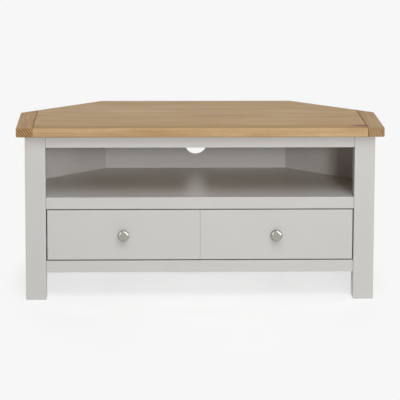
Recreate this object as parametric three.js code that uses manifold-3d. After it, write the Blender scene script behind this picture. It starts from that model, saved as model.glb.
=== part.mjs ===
// Corner television cabinet: a painted wooden carcass with an open bay over one wide drawer,
// under an oak top with breadboard ends. The rear corners are cut at 45 degrees, so that it
// stands in the corner of a room. The drawer has a dovetailed box and ball-bearing runners.
// Millimetres, +Z up, front towards -Y, origin on the floor under the middle of the top.
import * as THREE from "three";
import { mergeVertices } from "three/addons/utils/BufferGeometryUtils.js";
import Module from "manifold-3d";

const wasm = await Module();
wasm.setup();

// Driving dimensions of the whole cabinet
const cabinetHeight = 530;
const topWidth = 1100;
const topDepth = 550;
const topSideLength = 304; // straight end of the top, before the 45 degree cut
const topThickness = 28;
const frontOverhang = 25;
const sideOverhang = 25;
const rearOverhang = 15;
const legClearance = 85;
const shelfLevel = 315;
const fitGap = 0.3; // between any two pieces that touch

// Oak top
const breadboardWidth = 50;
const topArris = 2.5;
const topCornerRadius = 5;
const tongueLength = 12;
const tongueThickness = 8;
const tongueStop = 24; // the tongue ends this far inside the edges of the top
const seamGrooveWidth = 2;
const seamGrooveDepth = 1.2;

// Front frame
const postWidth = 62;
const postDepth = 62;
const legArris = 2;
const footRadius = 4; // on the bottom corners of every leg
const railHeight = 36;
const railThickness = 20;
const railSetback = 1.5;
const railArris = 1.5;
const tenonLength = 20;
const tenonThickness = 9;
const tenonShoulder = 6;

// Carcass boards
const sideSetback = 4; // the side panel lies this far inside the outer face of the post
const sideThickness = 15;
const sideHousing = 8; // depth of the groove in the post that the side panel enters
const angledThickness = 12;
const backThickness = 9;
const innerSideThickness = 15;
const shelfThickness = 15;
const bottomThickness = 15;
const cableHoleRadius = 35;
const cableHoleShare = 0.43; // height of its centre, as a share of the height of the bay
const cableHoleArris = 1;

// Rear legs and foot glides
const rearLegWidth = 62;
const spigotRadius = 10; // round tenon on the leg, up into the bottom panel
const spigotLength = 10;
const glideRadius = 10;
const glideThickness = 4;
const glideStandProud = 1;
const glideArris = 1;
const glideStemRadius = 2.5;
const glideStemLength = 14;

// Cleats that hold the top down
const cleatWidth = 20;
const cleatLength = 100;
const cleatArris = 1;
const cleatScrewInset = 15; // from the ends of the cleat
const cleatScrewBite = 16; // length inside the top

// Drawer
const drawerReveal = 3; // gap round the drawer front
const drawerFrontThickness = 20;
const drawerFrontArris = 2;
const centreGrooveWidth = 3;
const centreGrooveDepth = 2;
const boxBoardThickness = 12;
const boxHeight = 110;
const boxEndMargin = 4; // the box ends this far in front of the ends of its runners
const boxLift = 12; // over the bottom panel
const boxPanelThickness = 4;
const boxPanelLift = 8; // over the lower edge of the box
const boxGrooveDepth = 6;
const tailCount = 4;
const tailTipShare = 0.68; // of the pitch between tails
const tailRootShare = 0.46;

// Ball-bearing runners
const runnerThickness = 12.7;
const runnerHeight = 45.5;
const runnerSheet = 1.1;
const runnerBendRadius = 1.5;
const runnerFrontSetback = 4; // behind the drawer front
const runnerEndMargin = 1.8; // in front of the back end of the inner side
const travelShortfall = 10; // the drawer travels this much less than the length of its runners
const runnerAxisLift = 50; // over the lower edge of the drawer box
const runnerPlay = 0.35; // between the flat webs that slide past each other
const ballRadius = 1.75;
const ballPlay = 0.15;
const outerRowSetIn = 5.6; // balls between the cabinet and middle members
const innerRowSetIn = 7.8; // balls between the middle and drawer members
const cageSheet = 0.5;
const cageLip = 1.2; // the cage ends this far past the middle of the balls
const cageEndMargin = 5;
const ballsInRow = 5;
const accessHoleRadius = 6;
const runnerScrewInset = 18; // from the ends of the runner
const carcassScrewBite = 12;
const drawerScrewBite = 9;

// Knobs
const knobRadius = 17.5;
const knobProjection = 24;
const knobFootRadius = 8.5;
const knobFootThickness = 2;
const knobNeckRadius = 5.5;
const knobNeckLength = 8;
const knobRimThickness = 3;
const knobDomeRise = 5.5;
const knobEdgeRadius = 1.2;
const knobScrewBite = 8;
const knobScrewRadius = 2;
const knobScrewHeadRadius = 4;
const knobScrewHeadHeight = 2.6;

// Wood screws
const woodScrewRadius = 1.75;
const woodScrewHeadRadius = 3.4;
const woodScrewHeadHeight = 1.8;
const woodScrewTip = 4;
const boreEnd = 2; // a blind hole is this much deeper than what is in it
const overrun = 4; // how far a cutter runs past what it cuts

// Fineness of curves
const arrisSteps = 2;
const cornerSteps = 3;
const bendSteps = 2;
const raceSteps = 5;
const screwSides = 10;
const roundSides = 20;
const holeSides = 40;
const knobSides = 40;
const ballSides = 8;
const ballRings = 4;
const weldDistance = 1e-3;

// Places along X and Y that several pieces share. A sum is x + y along a 45 degree line in plan.
const halfTop = topWidth / 2;
const frontEdge = -topDepth / 2;
const backEdge = topDepth / 2;
const topCutSum = halfTop + frontEdge + topSideLength;
const postOuter = halfTop - sideOverhang;
const postInner = postOuter - postWidth;
const postFront = frontEdge + frontOverhang;
const postBack = postFront + postDepth;
const railFront = postFront + railSetback;
const railBack = railFront + railThickness;
const sideOuter = postOuter - sideSetback;
const sideInner = sideOuter - sideThickness;
const angledOuterSum = topCutSum - rearOverhang * Math.SQRT2;
const angledInnerSum = angledOuterSum - angledThickness * Math.SQRT2;
const angledFitSum = angledInnerSum - fitGap * Math.SQRT2; // for boards that meet the angled panel
const innerSideBack = angledFitSum - postInner;
const backOuter = backEdge - rearOverhang;
const backInner = backOuter - backThickness;
const backCorner = angledInnerSum - backInner; // inner corner of the back panel, from the middle

// Heights that several pieces share
const topUnderside = cabinetHeight - topThickness;
const carcassTop = topUnderside - fitGap;
const topRailBottom = topUnderside - railHeight;
const shelfRailBottom = shelfLevel - railHeight;
const shelfUnderside = shelfLevel - shelfThickness;
const bottomLevel = legClearance + railHeight; // top of the bottom rail and bottom panel
const bottomUnderside = bottomLevel - bottomThickness;

// Places of the drawer and its knobs
const drawerFrontBottom = bottomLevel + drawerReveal;
const drawerFrontTop = shelfRailBottom - drawerReveal;
const drawerFrontHalf = postInner - drawerReveal;
const drawerFrontBack = railFront + drawerFrontThickness;
const knobOffset = drawerFrontHalf / 2;
const knobHeight = (drawerFrontBottom + drawerFrontTop) / 2;
const knobSeat = railFront - fitGap;
const boxHalf = postInner - runnerThickness - 2 * fitGap;
const boxInnerHalf = boxHalf - boxBoardThickness;
const boxFront = drawerFrontBack + fitGap;
const boxFrontInner = boxFront + boxBoardThickness;
const boxBack = innerSideBack - runnerEndMargin - boxEndMargin;
const boxBackInner = boxBack - boxBoardThickness;
const boxBottom = bottomLevel + boxLift;
const boxTop = boxBottom + boxHeight;
const boxPanelUnderside = boxBottom + boxPanelLift;
const boxPanelTop = boxPanelUnderside + boxPanelThickness;
const boxBackBottom = boxPanelTop + fitGap;
const knobScrewSeat = boxFrontInner + fitGap;

// Places of the runners. Set-in is measured from the face on the carcass towards the drawer.
const runnerFace = postInner - fitGap;
const runnerFront = drawerFrontBack + runnerFrontSetback;
const runnerLength = innerSideBack - runnerEndMargin - runnerFront;
const runnerAxis = boxBottom + runnerAxisLift;
const runnerScrewPlaces = [
  runnerFront + runnerScrewInset,
  runnerFront + runnerLength - runnerScrewInset,
];
const raceRadius = ballRadius + ballPlay + runnerSheet / 2;
const cabinetWeb = runnerSheet / 2;
const outerCageWeb = runnerSheet + runnerPlay + cageSheet / 2;
const middleWeb = outerCageWeb + (cageSheet + runnerSheet) / 2 + runnerPlay;
const innerCageWeb = middleWeb + (runnerSheet + cageSheet) / 2 + runnerPlay;
const drawerWeb = runnerThickness - runnerSheet / 2;
const cabinetFlange = (runnerHeight - runnerSheet) / 2;
const outerRow = cabinetFlange - raceRadius;
const middleFlange = outerRow - raceRadius;
const innerRow = middleFlange - raceRadius;
const drawerFlange = innerRow - raceRadius;
const raceTopAngle = 90;
const raceLipAngle = -20; // where a race ends beside its balls
const raceFootAngle = 270;
const raceHookAngle = 205;

// The middle member follows the drawer at half its rate, and a cage the member it carries at half
const cageTravelShare = 0.25;
const drawerTravel = runnerLength - travelShortfall;
const cageSetIn = drawerTravel * cageTravelShare + cageEndMargin;
const cageFront = runnerFront + cageSetIn;
const cageLength = runnerLength - 2 * cageSetIn;

// Materials, with their colour, roughness and metalness
function finish(color, roughness, metalness) {
  return new THREE.MeshStandardMaterial({ color, roughness, metalness, flatShading: true });
}
const greyPaint = finish(0xcbc9c5, 0.45, 0);
const oak = finish(0xc09a68, 0.5, 0);
const rawBirch = finish(0xd9c7a4, 0.7, 0);
const zincSteel = finish(0xb9bcc0, 0.35, 1);
const satinNickel = finish(0xb5b2aa, 0.3, 1);
const darkPlastic = finish(0x3a3a3a, 0.6, 0);

// A shape's closed surface as a solid that can be joined and cut
function solidOf(shape) {
  if (!shape.isBufferGeometry) return shape;
  const bare = new THREE.BufferGeometry();
  bare.setAttribute("position", shape.getAttribute("position"));
  bare.setIndex(shape.getIndex());
  const merged = mergeVertices(bare, weldDistance);
  const corners = Array.from(merged.getIndex().array);
  const kept = [];
  for (let i = 0; i < corners.length; i += 3) {
    const [a, b, c] = corners.slice(i, i + 3);
    if (a !== b && b !== c && c !== a) kept.push(a, b, c);
  }
  const vertProperties = merged.getAttribute("position").array;
  const triVerts = new Uint32Array(kept);
  return new wasm.Manifold(new wasm.Mesh({ numProp: 3, vertProperties, triVerts }));
}

function geometryOf(solid) {
  const { numProp, vertProperties, triVerts } = solid.getMesh();
  const points = new Float32Array(triVerts.length * 3);
  triVerts.forEach((vertex, i) => {
    points.set(vertProperties.subarray(vertex * numProp, vertex * numProp + 3), i * 3);
  });
  const geometry = new THREE.BufferGeometry();
  geometry.setAttribute("position", new THREE.BufferAttribute(points, 3));
  geometry.computeVertexNormals();
  return geometry;
}

function joined(first, ...others) {
  return others.reduce((whole, other) => whole.add(solidOf(other)), solidOf(first));
}

function cut(shape, ...cutters) {
  return cutters.reduce((left, cutter) => left.subtract(solidOf(cutter)), solidOf(shape));
}

function shared(first, second) {
  return solidOf(first).intersect(solidOf(second));
}

// An outline whose corners [x, y, radius] become arcs, and whose corners [x, y] stay sharp
function roundedOutline(points) {
  return points.flatMap(([x, y, radius], i) => {
    const corner = new THREE.Vector2(x, y);
    if (!radius) return [corner];
    const before = points[(i + points.length - 1) % points.length];
    const after = points[(i + 1) % points.length];
    const toBefore = new THREE.Vector2(before[0], before[1]).sub(corner).normalize();
    const toAfter = new THREE.Vector2(after[0], after[1]).sub(corner).normalize();
    const halfAngle = Math.acos(toBefore.dot(toAfter)) / 2;
    const middle = toBefore.clone().add(toAfter).normalize();
    const centre = corner.clone().addScaledVector(middle, radius / Math.sin(halfAngle));
    const start = corner.clone().addScaledVector(toBefore, radius / Math.tan(halfAngle));
    const turn = (Math.PI - 2 * halfAngle) * Math.sign(toAfter.cross(toBefore));
    return Array.from({ length: cornerSteps + 1 }, (_, step) => {
      return start.clone().rotateAround(centre, (turn * step) / cornerSteps);
    });
  });
}

// A board lying flat: its outline in plan, from z = 0 upwards, with its edges eased by the arris
function flatBoard(points, thickness, arris = 0) {
  const geometry = new THREE.ExtrudeGeometry(new THREE.Shape(roundedOutline(points)), {
    depth: thickness - 2 * arris,
    bevelEnabled: arris > 0,
    bevelThickness: arris,
    bevelSize: arris,
    bevelOffset: -arris,
    bevelSegments: arrisSteps,
  });
  return geometry.translate(0, 0, arris);
}

// A board facing the front: its outline in X and Z, from y = 0 backwards
function frontBoard(points, thickness, arris = 0) {
  return flatBoard(points, thickness, arris).rotateX(Math.PI / 2).translate(0, thickness, 0);
}

// A board facing the side: its outline in Y and Z, from x = 0 outwards
function sideBoard(points, thickness, arris = 0) {
  return flatBoard(points, thickness, arris).rotateX(Math.PI / 2).rotateZ(Math.PI / 2);
}

function rectangle(left, right, low, high) {
  return [[left, low], [right, low], [right, high], [left, high]];
}

function block(low, high) {
  const size = high.map((value, i) => value - low[i]);
  const centre = high.map((value, i) => (value + low[i]) / 2);
  return new THREE.BoxGeometry(...size).translate(...centre);
}

// The outline of a V groove of a given width and depth, with its mirror image outside the face
function veeOutline(width, depth) {
  return [[-width / 2, 0], [0, -depth], [width / 2, 0], [0, depth]];
}

// A turned piece from a profile of [radius, distance] that starts and ends on the axis
function turned(profile, start, axis, sides) {
  const points = profile.map(([radius, distance]) => new THREE.Vector2(radius, distance));
  const direction = new THREE.Quaternion();
  direction.setFromUnitVectors(new THREE.Vector3(0, 1, 0), new THREE.Vector3(...axis));
  return new THREE.LatheGeometry(points, sides).applyQuaternion(direction).translate(...start);
}

function rod(radius, length, start, axis, sides) {
  return turned([[0, 0], [radius, 0], [radius, length], [0, length]], start, axis, sides);
}

// A countersunk wood screw from the face of its head, and the hole that it goes into
function woodScrew(length, headHeight, start, axis) {
  const profile = [
    [0, 0],
    [woodScrewHeadRadius, 0],
    [woodScrewRadius, headHeight],
    [woodScrewRadius, length - woodScrewTip],
    [0, length],
  ];
  return turned(profile, start, axis, screwSides);
}

function woodScrewBore(length, headHeight, start, axis) {
  const profile = [
    [0, -overrun],
    [woodScrewHeadRadius + fitGap, -overrun],
    [woodScrewHeadRadius + fitGap, 0],
    [woodScrewRadius + fitGap, headHeight],
    [woodScrewRadius + fitGap, length + boreEnd],
    [0, length + boreEnd],
  ];
  return turned(profile, start, axis, screwSides);
}

// A geometry's mirror image on the other side of the cabinet
function mirrored(geometry) {
  const image = geometry.index ? geometry.toNonIndexed() : geometry.clone();
  const points = image.scale(-1, 1, 1).getAttribute("position");
  for (let i = 0; i < points.count; i += 3) {
    const first = new THREE.Vector3().fromBufferAttribute(points, i);
    const last = new THREE.Vector3().fromBufferAttribute(points, i + 2);
    points.setXYZ(i, ...last);
    points.setXYZ(i + 2, ...first);
  }
  return image;
}

function onBothSides(geometry) {
  return [geometry, mirrored(geometry)];
}

const cabinet = new THREE.Group();

// One group for each half: pieces are modelled on the right, and mirrored on the left
const halves = [["right", 1], ["left", -1]].map(([side, sign]) => {
  const group = new THREE.Group();
  group.scale.x = sign;
  cabinet.add(group);
  return { side, group };
});

function place(name, shape, material, parent = cabinet) {
  const mesh = new THREE.Mesh(geometryOf(solidOf(shape)), material);
  mesh.name = name;
  parent.add(mesh);
}

function placeBothSides(name, shape, material) {
  for (const { side, group } of halves) place(`${name}_${side}`, shape, material, group);
}

// A plan outline with straight sides, 45 degree cuts and a straight back
function cutCornerOutline(half, front, back, cutSum, radius = 0) {
  const right = [[half, front, radius], [half, cutSum - half, radius], [cutSum - back, back, radius]];
  const left = right.map(([x, y, corner]) => [-x, y, corner]).reverse();
  return [...right, ...left];
}

// Cleats: each has its seat in the middle of the wall that carries it, and two screws up into the top
const cleatBottom = carcassTop - cleatWidth;
const cleatFront = -fitGap - cleatWidth;
const cleatScrewLength = cleatWidth + fitGap + cleatScrewBite;
const cleatScrewReach = cleatLength / 2 - cleatScrewInset;
const angledCleatX = (backCorner + postInner) / 2;
const cleatSeats = {
  back: { x: 0, y: backInner, turn: 0 },
  angled: { x: angledCleatX, y: angledInnerSum - angledCleatX, turn: -Math.PI / 4 },
};

function alongCleatScrews(make) {
  return [-cleatScrewReach, cleatScrewReach].map((x) => {
    return make(cleatScrewLength, woodScrewHeadHeight, [x, cleatFront + cleatWidth / 2, 0], [0, 0, 1]);
  });
}

function addCleat(name, seat, parent) {
  const outline = rectangle(-cleatLength / 2, cleatLength / 2, 0, cleatWidth);
  const bar = frontBoard(outline, cleatWidth, cleatArris).translate(0, cleatFront, 0);
  const group = new THREE.Group();
  group.position.set(seat.x, seat.y, cleatBottom);
  group.rotation.z = seat.turn;
  parent.add(group);
  place(name, cut(bar, ...alongCleatScrews(woodScrewBore)), rawBirch, group);
  alongCleatScrews(woodScrew).forEach((screw, i) => {
    place(`${name}_screw_${i + 1}`, screw, zincSteel, group);
  });
}

// Holes in the top for the screws of one cleat
function cleatBoresInTop(seat) {
  return alongCleatScrews(woodScrewBore).map((bore) => {
    return bore.rotateZ(seat.turn).translate(seat.x, seat.y, cleatBottom);
  });
}

// Top: a slab divided into the middle board and two breadboard ends, joined by stopped tongues
function addTop() {
  const outline = cutCornerOutline(halfTop, frontEdge, backEdge, topCutSum, topCornerRadius);
  const slab = flatBoard(outline, topThickness, topArris).translate(0, 0, topUnderside);
  const seam = halfTop - breadboardWidth;
  const [front, back] = [frontEdge - overrun, backEdge + overrun];
  const [low, high] = [topUnderside - overrun, cabinetHeight + overrun];
  const middle = block([-seam, front, low], [seam, back, high]);
  const outside = block([seam + fitGap, front, low], [halfTop + overrun, back, high]);
  const tongueBottom = topUnderside + (topThickness - tongueThickness) / 2;
  const tongue = (grow) => {
    const end = seam + tongueLength + grow;
    const rear = topCutSum - seam - tongueLength - tongueStop + grow;
    return block(
      [-end, frontEdge + tongueStop - grow, tongueBottom - grow],
      [end, rear, tongueBottom + tongueThickness + grow],
    );
  };
  const vee = veeOutline(seamGrooveWidth, seamGrooveDepth);
  const grooves = [
    frontBoard(vee, back - front).translate(seam + fitGap / 2, front, cabinetHeight),
    flatBoard(vee, high - low).translate(seam + fitGap / 2, frontEdge, low),
  ];
  const bores = [
    ...cleatBoresInTop(cleatSeats.back),
    ...cleatBoresInTop(cleatSeats.angled).flatMap(onBothSides),
  ];
  const board = joined(shared(slab, middle), tongue(0));
  place("top_board", cut(board, ...grooves.flatMap(onBothSides), ...bores), oak);
  placeBothSides("breadboard_end", cut(shared(slab, outside), tongue(fitGap), ...grooves), oak);
}

// A square leg with eased edges, sawn off at a given height, and with holes for its glide
function legStock(left, width, front, depth, top) {
  const [right, back, waste] = [left + width, front + depth, top + overrun];
  const outline = [
    [left, glideStandProud, footRadius],
    [right, glideStandProud, footRadius],
    [right, waste],
    [left, waste],
  ];
  const stock = frontBoard(outline, depth, legArris).translate(0, front, 0);
  const offcut = block([left - overrun, front - overrun, top], [right + overrun, back + overrun, waste]);
  return cut(stock, offcut, ...glideBores((left + right) / 2, (front + back) / 2));
}

function glideBores(x, y) {
  const seat = glideThickness + fitGap;
  const stemEnd = glideThickness + glideStemLength + boreEnd;
  return [
    rod(glideRadius + fitGap, seat + overrun, [x, y, -overrun], [0, 0, 1], roundSides),
    rod(glideStemRadius + fitGap, stemEnd, [x, y, 0], [0, 0, 1], screwSides),
  ];
}

function addGlides(name, x, y) {
  const stemEnd = glideThickness + glideStemLength;
  const profile = [
    [0, 0],
    [glideRadius - glideArris, 0],
    [glideRadius, glideArris],
    [glideRadius, glideThickness],
    [glideStemRadius, glideThickness],
    [glideStemRadius, stemEnd],
    [0, stemEnd],
  ];
  placeBothSides(name, turned(profile, [x, y, 0], [0, 0, 1], roundSides), darkPlastic);
}

// The tenons of a rail, or with grow the mortises that they go into
function tenons(bottom, grow) {
  const end = postInner + tenonLength + grow;
  const front = railFront + (railThickness - tenonThickness) / 2;
  return block(
    [-end, front - grow, bottom + tenonShoulder - grow],
    [end, front + tenonThickness + grow, bottom + railHeight - tenonShoulder + grow],
  );
}

function addFrontPosts(railBottoms) {
  const post = legStock(postInner, postWidth, postFront, postDepth, carcassTop);
  const housing = block(
    [sideInner - fitGap, postBack - sideHousing, legClearance - fitGap],
    [sideOuter + fitGap, postBack + overrun, carcassTop + overrun],
  );
  const mortises = railBottoms.map((bottom) => tenons(bottom, fitGap));
  const screwBore = carcassScrews(woodScrewBore)[0];
  placeBothSides("front_post", cut(post, housing, screwBore, ...mortises), greyPaint);
  addGlides("front_glide", postInner + postWidth / 2, postFront + postDepth / 2);
}

function addRail(name, bottom, top) {
  const shoulder = postInner - fitGap;
  const outline = rectangle(-postInner - overrun, postInner + overrun, bottom, top);
  const stock = frontBoard(outline, railThickness, railArris).translate(0, railFront, 0);
  const between = block([-shoulder, postFront, legClearance], [shoulder, postBack, cabinetHeight]);
  place(name, joined(shared(stock, between), tenons(bottom, 0)), greyPaint);
}

function addFrontFrame() {
  addFrontPosts([topRailBottom, shelfRailBottom, legClearance]);
  addRail("top_rail", topRailBottom, carcassTop);
  addRail("shelf_rail", shelfRailBottom, shelfLevel);
  addRail("bottom_rail", legClearance, bottomLevel);
}

// Walls: vertical boards with mitred corners. Each mitre is drawn back half a gap along its board.
function addWalls() {
  const half = fitGap / 2;
  const slant = half / Math.SQRT2;
  const housed = postBack - sideHousing + fitGap;
  const outerCorner = angledOuterSum - backOuter;
  const wall = (outline) => {
    return flatBoard(outline, carcassTop - legClearance).translate(0, 0, legClearance);
  };
  const side = wall([
    [sideInner, housed],
    [sideOuter, housed],
    [sideOuter, angledOuterSum - sideOuter - half],
    [sideInner, angledInnerSum - sideInner - half],
  ]);
  const angled = wall([
    [sideInner - slant, angledInnerSum - sideInner + slant],
    [sideOuter - slant, angledOuterSum - sideOuter + slant],
    [outerCorner + slant, backOuter - slant],
    [backCorner + slant, backInner - slant],
  ]);
  const back = wall([
    [half - backCorner, backInner],
    [backCorner - half, backInner],
    [outerCorner - half, backOuter],
    [half - outerCorner, backOuter],
  ]);
  placeBothSides("side_panel", side, greyPaint);
  placeBothSides("angled_panel", angled, greyPaint);
  place("back_panel", cut(back, cableHole()), greyPaint);
}

function cableHole() {
  const flare = cableHoleRadius + cableHoleArris + overrun;
  const centre = shelfLevel + (topUnderside - shelfLevel) * cableHoleShare;
  const profile = [
    [0, -overrun],
    [flare, -overrun],
    [cableHoleRadius, cableHoleArris],
    [cableHoleRadius, backThickness - cableHoleArris],
    [flare, backThickness + overrun],
    [0, backThickness + overrun],
  ];
  return turned(profile, [0, backInner, centre], [0, 1, 0], holeSides);
}

// Inner sides under the shelf, level with the inner faces of the posts, for the drawer's runners
function addInnerSides() {
  const outer = postInner + innerSideThickness;
  const foot = bottomLevel + fitGap;
  const outline = [
    [postInner, postBack + fitGap],
    [outer, postBack + fitGap],
    [outer, angledFitSum - outer],
    [postInner, innerSideBack],
  ];
  const board = flatBoard(outline, shelfUnderside - fitGap - foot).translate(0, 0, foot);
  placeBothSides("inner_side", cut(board, carcassScrews(woodScrewBore)[1]), greyPaint);
}

// A level board that fills the carcass behind its front rail, notched round the posts
function levelBoard(thickness, underside) {
  const front = railBack + fitGap;
  const outline = cutCornerOutline(sideInner - fitGap, front, backInner - fitGap, angledFitSum);
  const board = flatBoard(outline, thickness).translate(0, 0, underside);
  const notch = block(
    [postInner - fitGap, railFront, underside - overrun],
    [sideOuter, postBack + fitGap, underside + thickness + overrun],
  );
  return cut(board, ...onBothSides(notch));
}

function addShelf() {
  place("shelf_panel", levelBoard(shelfThickness, shelfUnderside), greyPaint);
}

// Bottom panel, and the rear legs, which stand under its back corners
function addBottomAndRearLegs() {
  const right = backCorner - fitGap;
  const left = right - rearLegWidth;
  const front = backInner - fitGap - rearLegWidth;
  const centre = [left + rearLegWidth / 2, front + rearLegWidth / 2];
  const legTop = bottomUnderside - fitGap;
  const spigot = (grow) => {
    const start = [...centre, legTop - overrun];
    const length = overrun + fitGap + spigotLength + grow;
    return rod(spigotRadius + grow, length, start, [0, 0, 1], roundSides);
  };
  const panel = levelBoard(bottomThickness, bottomUnderside);
  place("bottom_panel", cut(panel, ...onBothSides(spigot(fitGap))), greyPaint);
  const leg = legStock(left, rearLegWidth, front, rearLegWidth, legTop);
  placeBothSides("rear_leg", joined(leg, spigot(0)), greyPaint);
  addGlides("rear_glide", ...centre);
}

// Drawer front, with a groove down its middle and holes for the knob screws
function addDrawerFront() {
  const outline = rectangle(-drawerFrontHalf, drawerFrontHalf, drawerFrontBottom, drawerFrontTop);
  const board = frontBoard(outline, drawerFrontThickness, drawerFrontArris).translate(0, railFront, 0);
  const vee = veeOutline(centreGrooveWidth, centreGrooveDepth);
  const height = drawerFrontTop - drawerFrontBottom + 2 * overrun;
  const groove = flatBoard(vee, height).translate(0, railFront, drawerFrontBottom - overrun);
  place("drawer_front", cut(board, groove, ...onBothSides(knobScrewBore())), greyPaint);
}

// Dovetail tails at one end of a drawer side, between two heights, from the tip at y towards the
// middle of the board (direction 1 or -1). With grow they are the sockets that they go into.
function tails(low, high, y, direction, grow) {
  const pitch = (high - low) / tailCount;
  const tip = y - direction * grow;
  const root = y + direction * (boxBoardThickness + fitGap);
  const deep = root + direction * overrun;
  const tipHalf = (pitch * tailTipShare) / 2 + grow;
  const rootHalf = (pitch * tailRootShare) / 2 + grow;
  return Array.from({ length: tailCount }, (_, i) => {
    const centre = low + pitch * (i + 0.5);
    const outline = [
      [tip, centre - tipHalf],
      [root, centre - rootHalf],
      [deep, centre - rootHalf],
      [deep, centre + rootHalf],
      [root, centre + rootHalf],
      [tip, centre + tipHalf],
    ];
    return sideBoard(outline, boxBoardThickness + 2 * grow).translate(boxInnerHalf - grow, 0, 0);
  });
}

function addDrawerBox() {
  const frontTails = (grow) => tails(boxBottom, boxTop, boxFront, 1, grow);
  const backTails = (grow) => tails(boxBackBottom, boxTop, boxBack, -1, grow);
  const panelHalf = boxInnerHalf + boxGrooveDepth - fitGap;
  const panelFront = boxFrontInner - boxGrooveDepth + fitGap;
  const panel = block([-panelHalf, panelFront, boxPanelUnderside], [panelHalf, boxBack, boxPanelTop]);
  const groove = block(
    [-panelHalf - fitGap, panelFront - fitGap, boxPanelUnderside - fitGap],
    [panelHalf + fitGap, boxBack + overrun, boxPanelTop + fitGap],
  );
  const sideBody = block(
    [boxInnerHalf, boxFrontInner + fitGap, boxBottom],
    [boxHalf, boxBackInner - fitGap, boxTop],
  );
  const underBack = block(
    [boxInnerHalf, boxBackInner - overrun, boxBottom],
    [boxHalf, boxBack, boxBackBottom - fitGap],
  );
  const side = joined(sideBody, underBack, ...frontTails(0), ...backTails(0));
  const front = block([-boxHalf, boxFront, boxBottom], [boxHalf, boxFrontInner, boxTop]);
  const back = block([-boxHalf, boxBackInner, boxBackBottom], [boxHalf, boxBack, boxTop]);
  const frontCutters = [...frontTails(fitGap), knobScrewBore()].flatMap(onBothSides);
  const backCutters = backTails(fitGap).flatMap(onBothSides);
  placeBothSides("drawer_side", cut(side, groove, ...drawerScrews(woodScrewBore)), rawBirch);
  place("drawer_box_front", cut(front, groove, ...frontCutters), rawBirch);
  place("drawer_box_back", cut(back, ...backCutters), rawBirch);
  place("drawer_bottom", panel, rawBirch);
}

// Knobs, each on a screw from inside the drawer box
function knobScrewBore() {
  const start = [knobOffset, knobScrewSeat + overrun, knobHeight];
  const length = knobScrewSeat + overrun - knobSeat + knobScrewBite + boreEnd;
  return rod(knobScrewRadius + fitGap, length, start, [0, -1, 0], screwSides);
}

function addKnobs() {
  const rimEnd = knobProjection - knobDomeRise;
  const rimStart = rimEnd - knobRimThickness;
  const domeEdge = knobRadius - knobEdgeRadius;
  const domeShares = [0.85, 0.65, 0.45, 0.22];
  const profile = [
    [0, 0],
    [knobFootRadius, 0],
    [knobFootRadius, knobFootThickness],
    [knobNeckRadius, knobFootThickness],
    [knobNeckRadius, knobFootThickness + knobNeckLength],
    [domeEdge, rimStart],
    [knobRadius, rimStart + knobEdgeRadius],
    [knobRadius, rimEnd - knobEdgeRadius],
    [domeEdge, rimEnd],
    ...domeShares.map((share) => [domeEdge * share, rimEnd + knobDomeRise * (1 - share * share)]),
    [0, knobProjection],
  ];
  const knob = turned(profile, [knobOffset, knobSeat, knobHeight], [0, -1, 0], knobSides);
  placeBothSides("knob", cut(knob, knobScrewBore()), satinNickel);
  addKnobScrews();
}

function addKnobScrews() {
  const length = knobScrewSeat - knobSeat + knobScrewBite;
  const profile = [
    [0, -knobScrewHeadHeight],
    [knobScrewHeadRadius, -knobScrewHeadHeight],
    [knobScrewHeadRadius, 0],
    [knobScrewRadius, 0],
    [knobScrewRadius, length],
    [0, length],
  ];
  const start = [knobOffset, knobScrewSeat, knobHeight];
  placeBothSides("knob_screw", turned(profile, start, [0, -1, 0], screwSides), zincSteel);
}

// Two screws, or their bores, through a runner member. On the carcass the first is in the post.
function runnerScrews(make, setIn, bite, axis) {
  const length = runnerSheet + fitGap + bite;
  return runnerScrewPlaces.map((y) => make(length, runnerSheet, [runnerFace - setIn, y, runnerAxis], axis));
}

function carcassScrews(make) {
  return runnerScrews(make, runnerSheet, carcassScrewBite, [1, 0, 0]);
}

function drawerScrews(make) {
  return runnerScrews(make, runnerThickness - runnerSheet, drawerScrewBite, [-1, 0, 0]);
}

// Points [set-in, height] round a centre, from one angle to another in degrees
function arc(centreX, centreZ, radius, from, to, steps) {
  return Array.from({ length: steps + 1 }, (_, i) => {
    const angle = THREE.MathUtils.degToRad(from + ((to - from) * i) / steps);
    return [centreX + radius * Math.cos(angle), centreZ + radius * Math.sin(angle)];
  });
}

// The outline of bent sheet whose middle follows a path
function bentSheet(path, thickness) {
  const points = path.map(([x, z]) => new THREE.Vector2(x, z));
  const directions = points.slice(1).map((point, i) => point.clone().sub(points[i]).normalize());
  const face = (reach) => points.map((point, i) => {
    const into = directions[Math.max(i - 1, 0)];
    const out = directions[Math.min(i, directions.length - 1)];
    const along = into.clone().add(out).normalize();
    const offset = new THREE.Vector2(-along.y, along.x).multiplyScalar(reach / along.dot(out));
    return offset.add(point).toArray();
  });
  return [...face(thickness / 2), ...face(-thickness / 2).reverse()];
}

// A member or a cage, alike above and below the runner's axis, from the upper half of its path
function runnerPiece(upperPath, sheet, front, length) {
  const lowerPath = upperPath.map(([setIn, height]) => [setIn, -height]).reverse();
  const outline = bentSheet([...lowerPath, ...upperPath], sheet);
  const placed = outline.map(([setIn, height]) => [runnerFace - setIn, runnerAxis + height]);
  return frontBoard(placed, length).translate(0, front, 0);
}

// The bend between a web and a flange: on its drawer side from 180 degrees, on the other from 0
function bend(web, flange, from) {
  const centreX = from === 0 ? web - runnerBendRadius : web + runnerBendRadius;
  return arc(centreX, flange - runnerBendRadius, runnerBendRadius, from, 90, bendSteps);
}

function race(setIn, row, from, to) {
  return arc(setIn, row, raceRadius, from, to, raceSteps);
}

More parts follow.
